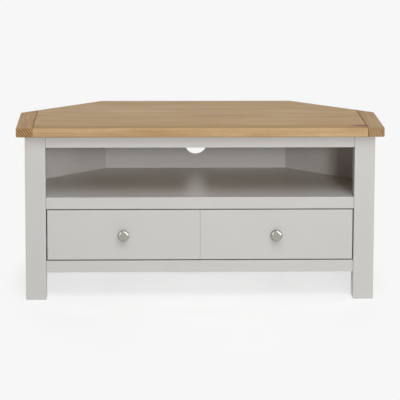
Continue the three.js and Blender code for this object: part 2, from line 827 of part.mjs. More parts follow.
function addRunners() {
  const cabinetPath = [
    ...bend(cabinetWeb, cabinetFlange, 180),
    ...race(outerRowSetIn, outerRow, raceTopAngle, raceLipAngle),
  ];
  const middlePath = [
    ...bend(middleWeb, middleFlange, 180),
    ...race(innerRowSetIn, innerRow, raceTopAngle, raceLipAngle),
  ];
  const drawerPath = [
    ...bend(drawerWeb, drawerFlange, 0),
    ...race(innerRowSetIn, innerRow, raceFootAngle, raceHookAngle),
  ];
  const member = (path) => runnerPiece(path, runnerSheet, runnerFront, runnerLength);
  const accessHoles = runnerScrewPlaces.map((y) => {
    return rod(accessHoleRadius, runnerThickness, [runnerFace, y, runnerAxis], [-1, 0, 0], roundSides);
  });
  const carcassBores = carcassScrews(woodScrewBore);
  placeBothSides("cabinet_runner", cut(member(cabinetPath), ...carcassBores), zincSteel);
  placeBothSides("middle_runner", cut(member(middlePath), ...accessHoles), zincSteel);
  placeBothSides("drawer_runner", cut(member(drawerPath), ...drawerScrews(woodScrewBore)), zincSteel);
  placeBothSides("outer_ball_cage", ballCage(outerCageWeb, outerRowSetIn, outerRow), zincSteel);
  placeBothSides("inner_ball_cage", ballCage(innerCageWeb, innerRowSetIn, innerRow), zincSteel);
  carcassScrews(woodScrew).forEach((screw, i) => {
    placeBothSides(`cabinet_runner_screw_${i + 1}`, screw, zincSteel);
  });
  drawerScrews(woodScrew).forEach((screw, i) => {
    placeBothSides(`drawer_runner_screw_${i + 1}`, screw, zincSteel);
  });
}

// A sheet cage with one row of balls above the runner's axis and one below
function ballCage(web, setIn, row) {
  const path = [...bend(web, row, 180), [setIn + cageLip, row]];
  const sheet = runnerPiece(path, cageSheet, cageFront, cageLength);
  const pitch = cageLength / ballsInRow;
  const balls = [row, -row].flatMap((height) => {
    return Array.from({ length: ballsInRow }, (_, i) => {
      const centre = [runnerFace - setIn, cageFront + pitch * (i + 0.5), runnerAxis + height];
      return new THREE.SphereGeometry(ballRadius, ballSides, ballRings).translate(...centre);
    });
  });
  return joined(sheet, ...balls);
}

addTop();
addCleat("cleat_back", cleatSeats.back, cabinet);
for (const { side, group } of halves) addCleat(`cleat_${side}`, cleatSeats.angled, group);
addFrontFrame();
addWalls();
addInnerSides();
addShelf();
addBottomAndRearLegs();
addDrawerFront();
addDrawerBox();
addKnobs();
addRunners();

export default cabinet;
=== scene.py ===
"""Corner television cabinet: a painted frame under a lacquered oak top, with one wide drawer.

Metres, +Z up, front towards -Y, origin on the floor under the middle of the top. Every piece is its
CAD solid with its real finish, apart from the two knobs, which are turned here with a fuller head.
"""
import math

import bpy
import numpy as np
from mathutils import Matrix, Vector


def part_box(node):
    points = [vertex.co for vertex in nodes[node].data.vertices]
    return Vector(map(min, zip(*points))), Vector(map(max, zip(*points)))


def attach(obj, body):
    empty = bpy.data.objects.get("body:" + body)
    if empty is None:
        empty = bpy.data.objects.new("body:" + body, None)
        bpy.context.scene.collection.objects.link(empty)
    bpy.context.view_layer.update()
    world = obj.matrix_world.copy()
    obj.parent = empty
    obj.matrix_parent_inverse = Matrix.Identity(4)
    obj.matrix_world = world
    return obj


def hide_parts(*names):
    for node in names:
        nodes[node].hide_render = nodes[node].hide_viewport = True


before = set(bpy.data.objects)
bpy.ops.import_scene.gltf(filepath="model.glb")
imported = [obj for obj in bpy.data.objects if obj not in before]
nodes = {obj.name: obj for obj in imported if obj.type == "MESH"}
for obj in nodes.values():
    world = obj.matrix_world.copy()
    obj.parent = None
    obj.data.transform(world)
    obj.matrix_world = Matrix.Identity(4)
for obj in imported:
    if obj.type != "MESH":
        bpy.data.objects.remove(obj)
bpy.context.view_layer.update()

MM = 0.001
MIX_A, MIX_B, MIXED = 6, 7, 2  # the two colours that go into a Mix node and the one that comes out


# Colours and nodes

def linear(code):
    """An sRGB hex colour such as "c8c4be" as the linear RGBA that a colour socket takes."""
    channels = [int(code[i:i + 2], 16) / 255 for i in (0, 2, 4)]
    return [c / 12.92 if c <= 0.04045 else ((c + 0.055) / 1.055) ** 2.4 for c in channels] + [1.0]


def add(tree, kind, inputs=None, **settings):
    """Adds a node: its properties, then each input by name or number as a value or as a link."""
    node = tree.nodes.new(kind)
    for name, value in settings.items():
        setattr(node, name, value)
    for key, value in (inputs or {}).items():
        if isinstance(value, bpy.types.NodeSocket):
            tree.links.new(value, node.inputs[key])
        else:
            node.inputs[key].default_value = value
    return node


def new_material(name):
    """An empty material, its tree, its shader, and the Object coordinates that its patterns read."""
    material = bpy.data.materials.new(name)
    material.use_nodes = True
    tree = material.node_tree
    tree.nodes.clear()
    shader = add(tree, "ShaderNodeBsdfPrincipled")
    add(tree, "ShaderNodeOutputMaterial", {"Surface": shader.outputs[0]})
    place = add(tree, "ShaderNodeTexCoord").outputs["Object"]
    return material, tree, shader, place


# Sprayed paint. Patterns are given as cells per metre, here and below.

PAINT_DARK, PAINT_LIGHT = "c5c3c0", "cbc9c6"
PAINT_DRIFTS = 5.0  # the tone drifts over 200 mm
PEEL_DIMPLES = 500.0  # 2 mm apart
PEEL_DEPTH = 0.06 * MM
PEEL_STRENGTH = 0.25
PAINT_ROUGHNESS = (0.28, 0.38)
POST_JOINT = 463.15 * MM  # from the middle to the joint of a rail and a post
FRONT_FACES = -245.0 * MM  # only faces ahead of this show the crack and its painted shade
# A crack in the paint with painted shade: a dark hairline where the rails meet the posts
CRACK_SHADE_COLOUR = "6f6d6a"
CRACK_SHADE_EDGE, CRACK_SHADE_CORE = 1.2 * MM, 0.5 * MM  # from its middle: where the dark line starts and where it is darkest
CRACK_SHADE_SHARE = 0.4  # of the way to its colour: a crack, with painted shade along the joint


def sprayed_paint():
    """Satin light grey paint, sprayed on wood and board: a soft broad sheen over a faint orange peel.

    The tone drifts a little from place to place. On the front, a dark hairline is painted where the
    rails meet the posts: a crack in the paint, with painted shade along the joint.
    """
    material, tree, shader, place = new_material("sprayed_satin_paint")
    drift = add(tree, "ShaderNodeTexNoise", {"Vector": place, "Scale": PAINT_DRIFTS, "Detail": 3.0})
    tone = add(tree, "ShaderNodeMix", {0: drift.outputs["Fac"], MIX_A: linear(PAINT_DARK),
                                       MIX_B: linear(PAINT_LIGHT)}, data_type="RGBA")
    peel = add(tree, "ShaderNodeTexNoise", {"Vector": place, "Scale": PEEL_DIMPLES, "Detail": 2.0})
    sheen = add(tree, "ShaderNodeMapRange", {"Value": peel.outputs["Fac"], "To Min": PAINT_ROUGHNESS[0],
                                             "To Max": PAINT_ROUGHNESS[1]})
    bump = add(tree, "ShaderNodeBump", {"Height": peel.outputs["Fac"], "Strength": PEEL_STRENGTH,
                                        "Distance": PEEL_DEPTH})
    # The dark hairline at the joints of rails and posts: a crack, with painted shade along the joint
    axes = add(tree, "ShaderNodeSeparateXYZ", {0: place})
    side = add(tree, "ShaderNodeMath", {0: axes.outputs[0]}, operation="ABSOLUTE")
    from_joint = add(tree, "ShaderNodeMath", {0: side.outputs[0], 1: POST_JOINT}, operation="SUBTRACT")
    gap = add(tree, "ShaderNodeMath", {0: from_joint.outputs[0]}, operation="ABSOLUTE")
    near = add(tree, "ShaderNodeMapRange", {"Value": gap.outputs[0], "From Min": CRACK_SHADE_EDGE,
                                            "From Max": CRACK_SHADE_CORE, "To Max": CRACK_SHADE_SHARE})
    ahead = add(tree, "ShaderNodeMath", {0: axes.outputs[1], 1: FRONT_FACES}, operation="LESS_THAN")
    crack_and_shade = add(tree, "ShaderNodeMath", {0: near.outputs[0], 1: ahead.outputs[0]}, operation="MULTIPLY")
    with_crack_shade = add(tree, "ShaderNodeMix", {0: crack_and_shade.outputs[0], MIX_A: tone.outputs[MIXED],
                                          MIX_B: linear(CRACK_SHADE_COLOUR)}, data_type="RGBA")
    tree.links.new(with_crack_shade.outputs[MIXED], shader.inputs["Base Color"])
    tree.links.new(sheen.outputs[0], shader.inputs["Roughness"])
    tree.links.new(bump.outputs[0], shader.inputs["Normal"])
    return material


# Lacquered oak. The first three pairs of colours are those of the staves and of the two ends.

OAK_LIGHT, OAK_DARK = "e7cb9f", "af8757"
LEFT_LIGHT, LEFT_DARK = "d9b281", "9b6f43"
RIGHT_LIGHT, RIGHT_DARK = "cfae82", "946c44"
# The joint colour is stain and painted shade in the grooves of the breadboard ends
OAK_PORE, OAK_SOAKED, OAK_JOINT_STAIN_SHADE, OAK_MARK = "7a5a38", "5a3c1e", "54381f", "784628"
OAK_FRONT = "a88146"  # yellower wood along the front of the top
UPRIGHT_PAINTED_SHADE = [0.84, 0.845, 0.855, 1]  # painted shade: the colour of an upright face is multiplied by this
# Cells per metre along the grain and across it, then the detail. The rings bend over 770 x 140 mm, the
# streaks are 250 x 13 mm and the patches 220 x 42 mm. A real pore is 0.3 mm wide and a fibre finer
# still, too fine to show, so fibres are drawn 70 x 2.4 mm and pores 14 x 0.9 mm.
OAK_PATTERNS = {
    "bend": (1.3, 7.0, 2.0),
    "streak": (4.0, 75.0, 4.0),
    "fibre": (14.0, 420.0, 3.0),
    "pore": (70.0, 1100.0, 1.0),
    "patch": (4.5, 24.0, 3.0),
}
RING_BEND = 26.0 * MM
LATE_START, LATE_DARK, LATE_END = 0.35, 0.9, 1.0  # of a ring: its late wood starts, is darkest, ends
STREAK_FROM, PATCH_FROM, UNEVEN_TO = 0.32, 0.3, 0.7  # levels of the noise where they start and are full
UNEVEN_SHARE, FIBRE_SHARE = 0.3, 0.18  # of the way from the light to the dark colour, at most
PORE_FROM, PORE_TO, PORE_SHARE = 0.66, 0.74, 0.45  # levels of the noise, and of the way to its colour
STAVE = 92.0 * MM
STAVE_TONE = 0.14  # of the way to the dark colour, at most, from one stave to another
STAVE_SLIP = 3.7  # metres along the grain from one stave's pattern to the next
PITH_DEPTH = 90.0 * MM  # under the staves, at most
FRONT_STAVE, FRONT_BLEND, FRONT_SHARE = -222.0 * MM, 6.0 * MM, 0.42  # the narrow darker stave in front
YELLOW_FROM, YELLOW_TO, YELLOW_SHARE = -20.0 * MM, -120.0 * MM, 0.26  # where it starts and is full
MARK_EDGE, MARK_CORE = 1.0, 0.2  # of the mark's size: where it starts and where it is full
MARK_STRENGTH = 2.6  # times the streaks and patches
CROSS_FROM, CROSS_TO = 0.6, 0.95  # how far a face looks along the grain
SOAK_SHARE = 0.12  # of the way to the soaked colour between the rings of the end grain
BOARD_JOINT = 500.15 * MM  # from the middle of the top to the joint of a breadboard end
JOINT_EDGE, JOINT_CORE, JOINT_STAIN_SHADE_SHARE = 2.4 * MM, 1.0 * MM, 0.5  # as for the crack and painted shade in the paint
OAK_ROUGHNESS = (0.5, 0.62)
OAK_SPECULAR = 0.2
OAK_RELIEF = 0.05 * MM
GRAIN_STRENGTH = 0.3  # of the bump of wood and nylon


def lacquered_oak(name, along, light, dark, pith, ring_width, ring_share, end_share, stave=None,
                  mark=None, front_stain_shade=0.0):
    """Oak under a satin lacquer, as a solid wood whose growth rings run through the board.

    A ring's number is the distance from the pith, over the ring width. The pith is a line along the
    grain outside the board, given by its place across the board and its height. Slow noise bends the
    rings into long flames on the faces and leaves them as arcs on the end grain. Where staves are
    glued side by side, each has its own pith and tone. Fine fibres and short dark pores follow the
    grain. The joints of the breadboard ends are painted dark, as stain and as painted shade in the grooves.
    """
    material, tree, shader, place = new_material(name)
    axes = add(tree, "ShaderNodeSeparateXYZ", {0: place})
    length, across = axes.outputs[along], axes.outputs[1 - along]
    height = axes.outputs[2]
    pith_across, pith_height = pith
    slip = length
    if stave:
        # The pith of each stave lies up to a stave's width to either side of its middle
        number = add(tree, "ShaderNodeMath", {0: across, 1: 1 / stave}, operation="MULTIPLY")
        row = add(tree, "ShaderNodeMath", {0: number.outputs[0]}, operation="FLOOR")
        chance = add(tree, "ShaderNodeTexWhiteNoise", {"W": row.outputs[0]}, noise_dimensions="1D")
        parts = add(tree, "ShaderNodeSeparateColor", {0: chance.outputs["Color"]})
        middle = add(tree, "ShaderNodeMath", {0: row.outputs[0], 1: stave, 2: pith_across + stave / 2},
                     operation="MULTIPLY_ADD")
        aside = add(tree, "ShaderNodeMath", {0: parts.outputs[0], 1: 2 * stave, 2: -stave},
                    operation="MULTIPLY_ADD")
        pith_across = add(tree, "ShaderNodeMath", {0: middle.outputs[0], 1: aside.outputs[0]},
                          operation="ADD").outputs[0]
        pith_height = add(tree, "ShaderNodeMath", {0: parts.outputs[1], 1: -PITH_DEPTH, 2: pith_height},
                          operation="MULTIPLY_ADD").outputs[0]
        slip = add(tree, "ShaderNodeMath", {0: row.outputs[0], 1: STAVE_SLIP, 2: length},
                   operation="MULTIPLY_ADD").outputs[0]
    flow = add(tree, "ShaderNodeCombineXYZ", {0: slip, 1: across, 2: height})
    noise = {}
    for pattern, (lengthwise, crosswise, detail) in OAK_PATTERNS.items():
        at = add(tree, "ShaderNodeVectorMath", {0: flow.outputs[0], 1: (lengthwise, crosswise, crosswise)},
                 operation="MULTIPLY")
        texture = add(tree, "ShaderNodeTexNoise", {"Vector": at.outputs[0], "Scale": 1.0, "Detail": detail})
        noise[pattern] = texture.outputs["Fac"]
    # Distance from the pith, square to the grain, plus the bend, in ring widths
    from_across = add(tree, "ShaderNodeMath", {0: across, 1: pith_across}, operation="SUBTRACT")
    from_height = add(tree, "ShaderNodeMath", {0: height, 1: pith_height}, operation="SUBTRACT")
    square = add(tree, "ShaderNodeMath", {0: from_across.outputs[0], 1: 2.0}, operation="POWER")
    squares = add(tree, "ShaderNodeMath", {0: from_height.outputs[0], 1: from_height.outputs[0],
                                           2: square.outputs[0]}, operation="MULTIPLY_ADD")
    radius = add(tree, "ShaderNodeMath", {0: squares.outputs[0]}, operation="SQRT")
    bent = add(tree, "ShaderNodeMath", {0: noise["bend"], 1: RING_BEND, 2: radius.outputs[0]},
               operation="MULTIPLY_ADD")
    ring = add(tree, "ShaderNodeMath", {0: bent.outputs[0], 1: 1 / ring_width}, operation="MULTIPLY")
    phase = add(tree, "ShaderNodeMath", {0: ring.outputs[0]}, operation="FRACT")
    late = add(tree, "ShaderNodeMapRange", {"Value": phase.outputs[0], "From Min": LATE_START,
                                            "From Max": LATE_DARK}, interpolation_type="SMOOTHSTEP")
    fade = add(tree, "ShaderNodeMapRange", {"Value": phase.outputs[0], "From Min": LATE_END,
                                            "From Max": LATE_DARK})
    band = add(tree, "ShaderNodeMath", {0: late.outputs[0], 1: fade.outputs[0]}, operation="MULTIPLY")
    # Darkness: rings, streaks, patches and fibres, and the stave's own tone
    broad = add(tree, "ShaderNodeMapRange", {"Value": noise["streak"], "From Min": STREAK_FROM,
                                             "From Max": UNEVEN_TO, "To Max": UNEVEN_SHARE})
    patched = add(tree, "ShaderNodeMapRange", {"Value": noise["patch"], "From Min": PATCH_FROM,
                                               "From Max": UNEVEN_TO, "To Max": UNEVEN_SHARE})
    uneven = add(tree, "ShaderNodeMath", {0: broad.outputs[0], 1: patched.outputs[0]}, operation="ADD")
    ringed = add(tree, "ShaderNodeMath", {0: band.outputs[0], 1: ring_share, 2: uneven.outputs[0]},
                 operation="MULTIPLY_ADD")
    darkness = add(tree, "ShaderNodeMath", {0: noise["fibre"], 1: FIBRE_SHARE, 2: ringed.outputs[0]},
                   operation="MULTIPLY_ADD")
    if stave:
        darkness = add(tree, "ShaderNodeMath", {0: parts.outputs[2], 1: STAVE_TONE, 2: darkness.outputs[0]},
                       operation="MULTIPLY_ADD")
    colour = add(tree, "ShaderNodeMix", {0: darkness.outputs[0], MIX_A: linear(light), MIX_B: linear(dark)},
                 data_type="RGBA")
    facing = add(tree, "ShaderNodeTexCoord").outputs["Normal"]
    turned = add(tree, "ShaderNodeSeparateXYZ", {0: facing})
    level = add(tree, "ShaderNodeMath", {0: turned.outputs[2]}, operation="ABSOLUTE")
    if stave:
        # Level faces grow yellower towards the front, and most on the narrow stave there
        front = add(tree, "ShaderNodeMapRange", {"Value": across, "From Min": FRONT_STAVE,
                                                 "From Max": FRONT_STAVE - FRONT_BLEND,
                                                 "To Max": FRONT_SHARE})
        yellowed = add(tree, "ShaderNodeMapRange", {"Value": across, "From Min": YELLOW_FROM,
                                                    "From Max": YELLOW_TO, "To Max": YELLOW_SHARE})
        both = add(tree, "ShaderNodeMath", {0: front.outputs[0], 1: yellowed.outputs[0]}, operation="ADD")
        on_top = add(tree, "ShaderNodeMath", {0: both.outputs[0], 1: level.outputs[0]}, operation="MULTIPLY")
        colour = add(tree, "ShaderNodeMix", {0: on_top.outputs[0], MIX_A: colour.outputs[MIXED],
                                             MIX_B: linear(OAK_FRONT)}, data_type="RGBA")
    if mark:
        # A dark mark in the wood: an ellipsoid about its centre, made ragged by the streaks and patches
        centre, spread = mark
        offset = add(tree, "ShaderNodeVectorMath", {0: place, 1: centre}, operation="SUBTRACT")
        scaled = add(tree, "ShaderNodeVectorMath", {0: offset.outputs[0], 1: [1 / s for s in spread]},
                     operation="MULTIPLY")
        away = add(tree, "ShaderNodeVectorMath", {0: scaled.outputs[0]}, operation="LENGTH")
        inside = add(tree, "ShaderNodeMapRange", {"Value": away.outputs["Value"], "From Min": MARK_EDGE,
                                                  "From Max": MARK_CORE, "To Max": MARK_STRENGTH},
                     interpolation_type="SMOOTHSTEP")
        ragged = add(tree, "ShaderNodeMath", {0: inside.outputs[0], 1: uneven.outputs[0]},
                     operation="MULTIPLY", use_clamp=True)
        colour = add(tree, "ShaderNodeMix", {0: ragged.outputs[0], MIX_A: colour.outputs[MIXED],
                                             MIX_B: linear(OAK_MARK)}, data_type="RGBA")
    pore = add(tree, "ShaderNodeMapRange", {"Value": noise["pore"], "From Min": PORE_FROM,
                                            "From Max": PORE_TO, "To Max": PORE_SHARE})
    pored = add(tree, "ShaderNodeMix", {0: pore.outputs[0], MIX_A: colour.outputs[MIXED],
                                        MIX_B: linear(OAK_PORE)}, data_type="RGBA")
    # A face across the grain drinks more lacquer, so it is darker and its rings stand out. An upright
    # face has painted shade: its colour is a little darker.
    to_grain = add(tree, "ShaderNodeMath", {0: turned.outputs[along]}, operation="ABSOLUTE")
    cross_cut = add(tree, "ShaderNodeMapRange", {"Value": to_grain.outputs[0], "From Min": CROSS_FROM,
                                                 "From Max": CROSS_TO})
    ring_dark = add(tree, "ShaderNodeMath", {0: band.outputs[0], 1: end_share, 2: SOAK_SHARE},
                    operation="MULTIPLY_ADD")
    soaked = add(tree, "ShaderNodeMath", {0: cross_cut.outputs[0], 1: ring_dark.outputs[0]},
                 operation="MULTIPLY")
    finished = add(tree, "ShaderNodeMix", {0: soaked.outputs[0], MIX_A: pored.outputs[MIXED],
                                           MIX_B: linear(OAK_SOAKED)}, data_type="RGBA")
    upright = add(tree, "ShaderNodeMath", {0: 1.0, 1: level.outputs[0]}, operation="SUBTRACT")
    upright_shaded = add(tree, "ShaderNodeMix", {0: upright.outputs[0], MIX_A: finished.outputs[MIXED],
                                        MIX_B: UPRIGHT_PAINTED_SHADE}, data_type="RGBA", blend_type="MULTIPLY")
    # The joints are painted dark, as stain and as painted shade in the groove: on level faces, and on a front
    # by its given share
    side = add(tree, "ShaderNodeMath", {0: axes.outputs[0]}, operation="ABSOLUTE")
    from_joint = add(tree, "ShaderNodeMath", {0: side.outputs[0], 1: BOARD_JOINT}, operation="SUBTRACT")
    gap = add(tree, "ShaderNodeMath", {0: from_joint.outputs[0]}, operation="ABSOLUTE")
    near = add(tree, "ShaderNodeMapRange", {"Value": gap.outputs[0], "From Min": JOINT_EDGE,
                                            "From Max": JOINT_CORE, "To Max": JOINT_STAIN_SHADE_SHARE})
    joint_shade_faces = add(tree, "ShaderNodeMath", {0: level.outputs[0], 1: front_stain_shade}, operation="MAXIMUM")
    joint_stain_shade = add(tree, "ShaderNodeMath", {0: near.outputs[0], 1: joint_shade_faces.outputs[0]}, operation="MULTIPLY")
    with_joint_stain_shade = add(tree, "ShaderNodeMix", {0: joint_stain_shade.outputs[0], MIX_A: upright_shaded.outputs[MIXED],
                                          MIX_B: linear(OAK_JOINT_STAIN_SHADE)}, data_type="RGBA")
    sheen = add(tree, "ShaderNodeMapRange", {"Value": noise["fibre"], "To Min": OAK_ROUGHNESS[0],
                                             "To Max": OAK_ROUGHNESS[1]})
    matt = add(tree, "ShaderNodeMath", {0: sheen.outputs[0], 1: joint_stain_shade.outputs[0]}, operation="ADD",
               use_clamp=True)
    relief = add(tree, "ShaderNodeMath", {0: noise["pore"], 1: noise["fibre"]}, operation="ADD")
    bump = add(tree, "ShaderNodeBump", {"Height": relief.outputs[0], "Strength": GRAIN_STRENGTH,
                                        "Distance": OAK_RELIEF})
    tree.links.new(with_joint_stain_shade.outputs[MIXED], shader.inputs["Base Color"])
    tree.links.new(matt.outputs[0], shader.inputs["Roughness"])
    tree.links.new(bump.outputs[0], shader.inputs["Normal"])
    shader.inputs["Specular IOR Level"].default_value = OAK_SPECULAR
    return material


# Birch plywood, steel, nickel and nylon

BIRCH_LIGHT, BIRCH_DARK = "e3d2b0", "b3946a"
BIRCH_LENGTHWISE, BIRCH_CROSSWISE = 9.0, 260.0  # 110 x 4 mm, coarser than the real grain, to show
BIRCH_SHARE, CROSS_PLY_SHARE = 0.7, 0.6  # of the way to the dark colour
PLY = 1.5 * MM
BIRCH_ROUGHNESS = 0.68
BIRCH_RELIEF = 0.1 * MM

ZINC_LIGHT, ZINC_DARK = "c9ccd0", "a8abb0"
ROLLED_LINES = (900.0, 12.0, 900.0)  # 1.1 mm apart and 80 mm long, coarser than real ones, to show
ZINC_ROUGHNESS = (0.26, 0.42)

NICKEL_LIGHT, NICKEL_DARK = "b0afa5", "9d9c93"
NICKEL_GRIT = 2500.0  # 0.4 mm, coarser than the real grain, to show
NICKEL_ROUGHNESS = (0.14, 0.22)

NYLON_LIGHT, NYLON_DARK = "3a3a3b", "2d2d2e"
NYLON_TEXTURE = 1400.0  # 0.7 mm
NYLON_ROUGHNESS = 0.6
NYLON_RELIEF = 0.05 * MM


def birch_plywood(name, along, thickness_axis, face):
    """Unfinished birch plywood: pale faces with a fine straight grain, and thin plies on every edge.

    The plies are counted from one face of the board, and every second one is end grain and so darker.
    """
    material, tree, shader, place = new_material(name)
    axes = add(tree, "ShaderNodeSeparateXYZ", {0: place})
    stretch = [BIRCH_CROSSWISE] * 3
    stretch[along] = BIRCH_LENGTHWISE
    grain_at = add(tree, "ShaderNodeVectorMath", {0: place, 1: stretch}, operation="MULTIPLY")
    grain = add(tree, "ShaderNodeTexNoise", {"Vector": grain_at.outputs[0], "Scale": 1.0, "Detail": 4.0})
    deep = add(tree, "ShaderNodeMath", {0: axes.outputs[thickness_axis], 1: face}, operation="SUBTRACT")
    ply = add(tree, "ShaderNodeMath", {0: deep.outputs[0], 1: 1 / PLY}, operation="MULTIPLY")
    pair = add(tree, "ShaderNodeMath", {0: ply.outputs[0], 1: 2.0}, operation="FLOORED_MODULO")
    cross = add(tree, "ShaderNodeMath", {0: pair.outputs[0], 1: 1.0}, operation="GREATER_THAN")
    darker = add(tree, "ShaderNodeMath", {0: cross.outputs[0], 1: CROSS_PLY_SHARE}, operation="MULTIPLY")
    shade = add(tree, "ShaderNodeMath", {0: grain.outputs["Fac"], 1: BIRCH_SHARE, 2: darker.outputs[0]},
                operation="MULTIPLY_ADD")
    colour = add(tree, "ShaderNodeMix", {0: shade.outputs[0], MIX_A: linear(BIRCH_LIGHT),
                                         MIX_B: linear(BIRCH_DARK)}, data_type="RGBA")
    bump = add(tree, "ShaderNodeBump", {"Height": grain.outputs["Fac"], "Strength": GRAIN_STRENGTH,
                                        "Distance": BIRCH_RELIEF})
    tree.links.new(colour.outputs[MIXED], shader.inputs["Base Color"])
    tree.links.new(bump.outputs[0], shader.inputs["Normal"])
    shader.inputs["Roughness"].default_value = BIRCH_ROUGHNESS
    return material


def zinc_plated_steel():
    """Rolled sheet steel with a bright zinc plate: cool grey, with faint drawn lines along the runners."""
    material, tree, shader, place = new_material("bright_zinc_plated_steel")
    drawn_at = add(tree, "ShaderNodeVectorMath", {0: place, 1: ROLLED_LINES}, operation="MULTIPLY")
    drawn = add(tree, "ShaderNodeTexNoise", {"Vector": drawn_at.outputs[0], "Scale": 1.0, "Detail": 3.0})
    tone = add(tree, "ShaderNodeMix", {0: drawn.outputs["Fac"], MIX_A: linear(ZINC_LIGHT),
                                       MIX_B: linear(ZINC_DARK)}, data_type="RGBA")
    sheen = add(tree, "ShaderNodeMapRange", {"Value": drawn.outputs["Fac"], "To Min": ZINC_ROUGHNESS[0],
                                             "To Max": ZINC_ROUGHNESS[1]})
    tree.links.new(tone.outputs[MIXED], shader.inputs["Base Color"])
    tree.links.new(sheen.outputs[0], shader.inputs["Roughness"])
    shader.inputs["Metallic"].default_value = 1.0
    return material


def satin_nickel():
    """Cast knob with a satin nickel plate: warm grey, with soft highlights from a fine matt grain."""
    material, tree, shader, place = new_material("satin_nickel_plate")
    grit = add(tree, "ShaderNodeTexNoise", {"Vector": place, "Scale": NICKEL_GRIT, "Detail": 2.0})
    tone = add(tree, "ShaderNodeMix", {0: grit.outputs["Fac"], MIX_A: linear(NICKEL_LIGHT),
                                       MIX_B: linear(NICKEL_DARK)}, data_type="RGBA")
    sheen = add(tree, "ShaderNodeMapRange", {"Value": grit.outputs["Fac"], "To Min": NICKEL_ROUGHNESS[0],
                                             "To Max": NICKEL_ROUGHNESS[1]})
    tree.links.new(tone.outputs[MIXED], shader.inputs["Base Color"])
    tree.links.new(sheen.outputs[0], shader.inputs["Roughness"])
    shader.inputs["Metallic"].default_value = 1.0
    return material


def moulded_nylon():
    """Dark moulded nylon of the glides: matt, with a fine even texture from the mould."""
    material, tree, shader, place = new_material("moulded_dark_nylon")
    mould = add(tree, "ShaderNodeTexNoise", {"Vector": place, "Scale": NYLON_TEXTURE, "Detail": 2.0})
    tone = add(tree, "ShaderNodeMix", {0: mould.outputs["Fac"], MIX_A: linear(NYLON_LIGHT),
                                       MIX_B: linear(NYLON_DARK)}, data_type="RGBA")
    bump = add(tree, "ShaderNodeBump", {"Height": mould.outputs["Fac"], "Strength": GRAIN_STRENGTH,
                                        "Distance": NYLON_RELIEF})
    tree.links.new(tone.outputs[MIXED], shader.inputs["Base Color"])
    tree.links.new(bump.outputs[0], shader.inputs["Normal"])
    shader.inputs["Roughness"].default_value = NYLON_ROUGHNESS
    return material


# What each piece is made of

def dress(names, material):
    """Gives each named CAD node the one material."""
    for name in names:
        slots = nodes[name].data.materials
        slots.clear()
        slots.append(material)


paint = sprayed_paint()
zinc = zinc_plated_steel()
nickel = satin_nickel()
nylon = moulded_nylon()

top_low, top_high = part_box("top_board")
end_low, end_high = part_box("breadboard_end_right")
end_middle = (end_low + end_high) / 2
# Rings in oak are mostly 1 to 4 mm wide. Those of the two ends are drawn wider, after the stripes in
# the photograph: about 7 mm apart on the left and, more faintly, 8 to 9 mm on the right.
board_oak = lacquered_oak(
    "lacquered_oak_staves", 0, OAK_LIGHT, OAK_DARK, pith=(0.0, top_low.z), ring_width=4.0 * MM,
    ring_share=0.22, end_share=0.6, stave=STAVE,
    mark=((488.0 * MM, -231.0 * MM, top_high.z), (48.0 * MM, 31.0 * MM, 12.0 * MM)),
)
left_oak = lacquered_oak(
    "lacquered_oak_left_end", 1, LEFT_LIGHT, LEFT_DARK,
    pith=(-end_middle.x - 123.0 * MM, end_middle.z - 86.0 * MM), ring_width=6.8 * MM, ring_share=0.12,
    end_share=0.72,
)
right_oak = lacquered_oak(
    "lacquered_oak_right_end", 1, RIGHT_LIGHT, RIGHT_DARK,
    pith=(end_middle.x - 160.0 * MM, end_middle.z - 20.0 * MM), ring_width=8.0 * MM, ring_share=0.14,
    end_share=0.36, front_stain_shade=0.8,
)
dress(["top_board"], board_oak)
dress(["breadboard_end_left"], left_oak)
dress(["breadboard_end_right"], right_oak)

painted = [
    "top_rail", "shelf_rail", "bottom_rail", "shelf_panel", "bottom_panel", "back_panel", "drawer_front",
]
for stem in ("front_post", "side_panel", "angled_panel", "inner_side", "rear_leg"):
    painted += [stem + "_left", stem + "_right"]
dress(painted, paint)

for name, along, thickness_axis in (
    ("drawer_box_front", 0, 1), ("drawer_box_back", 0, 1), ("drawer_side_left", 1, 0),
    ("drawer_side_right", 1, 0), ("drawer_bottom", 0, 2),
    ("cleat_back", 0, 2), ("cleat_left", 0, 2), ("cleat_right", 0, 2),
):
    dress([name], birch_plywood("birch_" + name, along, thickness_axis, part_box(name)[0][thickness_axis]))

dress([name for name in nodes if "runner" in name or "screw" in name or "cage" in name], zinc)
dress([name for name in nodes if "glide" in name], nylon)
dress(["knob_left", "knob_right"], nickel)


# The knobs

KNOB_SIDES, NECK_POINTS, HEAD_POINTS = 96, 14, 40
# Radius and distance from the seat, in mm, of the foot and of the lip where the neck meets the head
KNOB_FOOT = [(0.02, 0.0), (8.2, 0.0), (8.5, 0.3), (8.5, 1.6), (8.1, 2.0)]
KNOB_LIP = [(17.2, 13.8), (17.44, 14.3)]
# The neck and the head, also in mm, with the power of each curve
NECK_RADIUS, NECK_FLARE, NECK_START, NECK_LENGTH, NECK_POWER = 5.5, 11.3, 2.4, 11.2, 0.9
HEAD_RADIUS, HEAD_START, HEAD_RISE, HEAD_POWER = 17.5, 15.0, 9.0, 2.3
HEAD_TIP = 0.004  # radians from the tip, where one small face closes the head


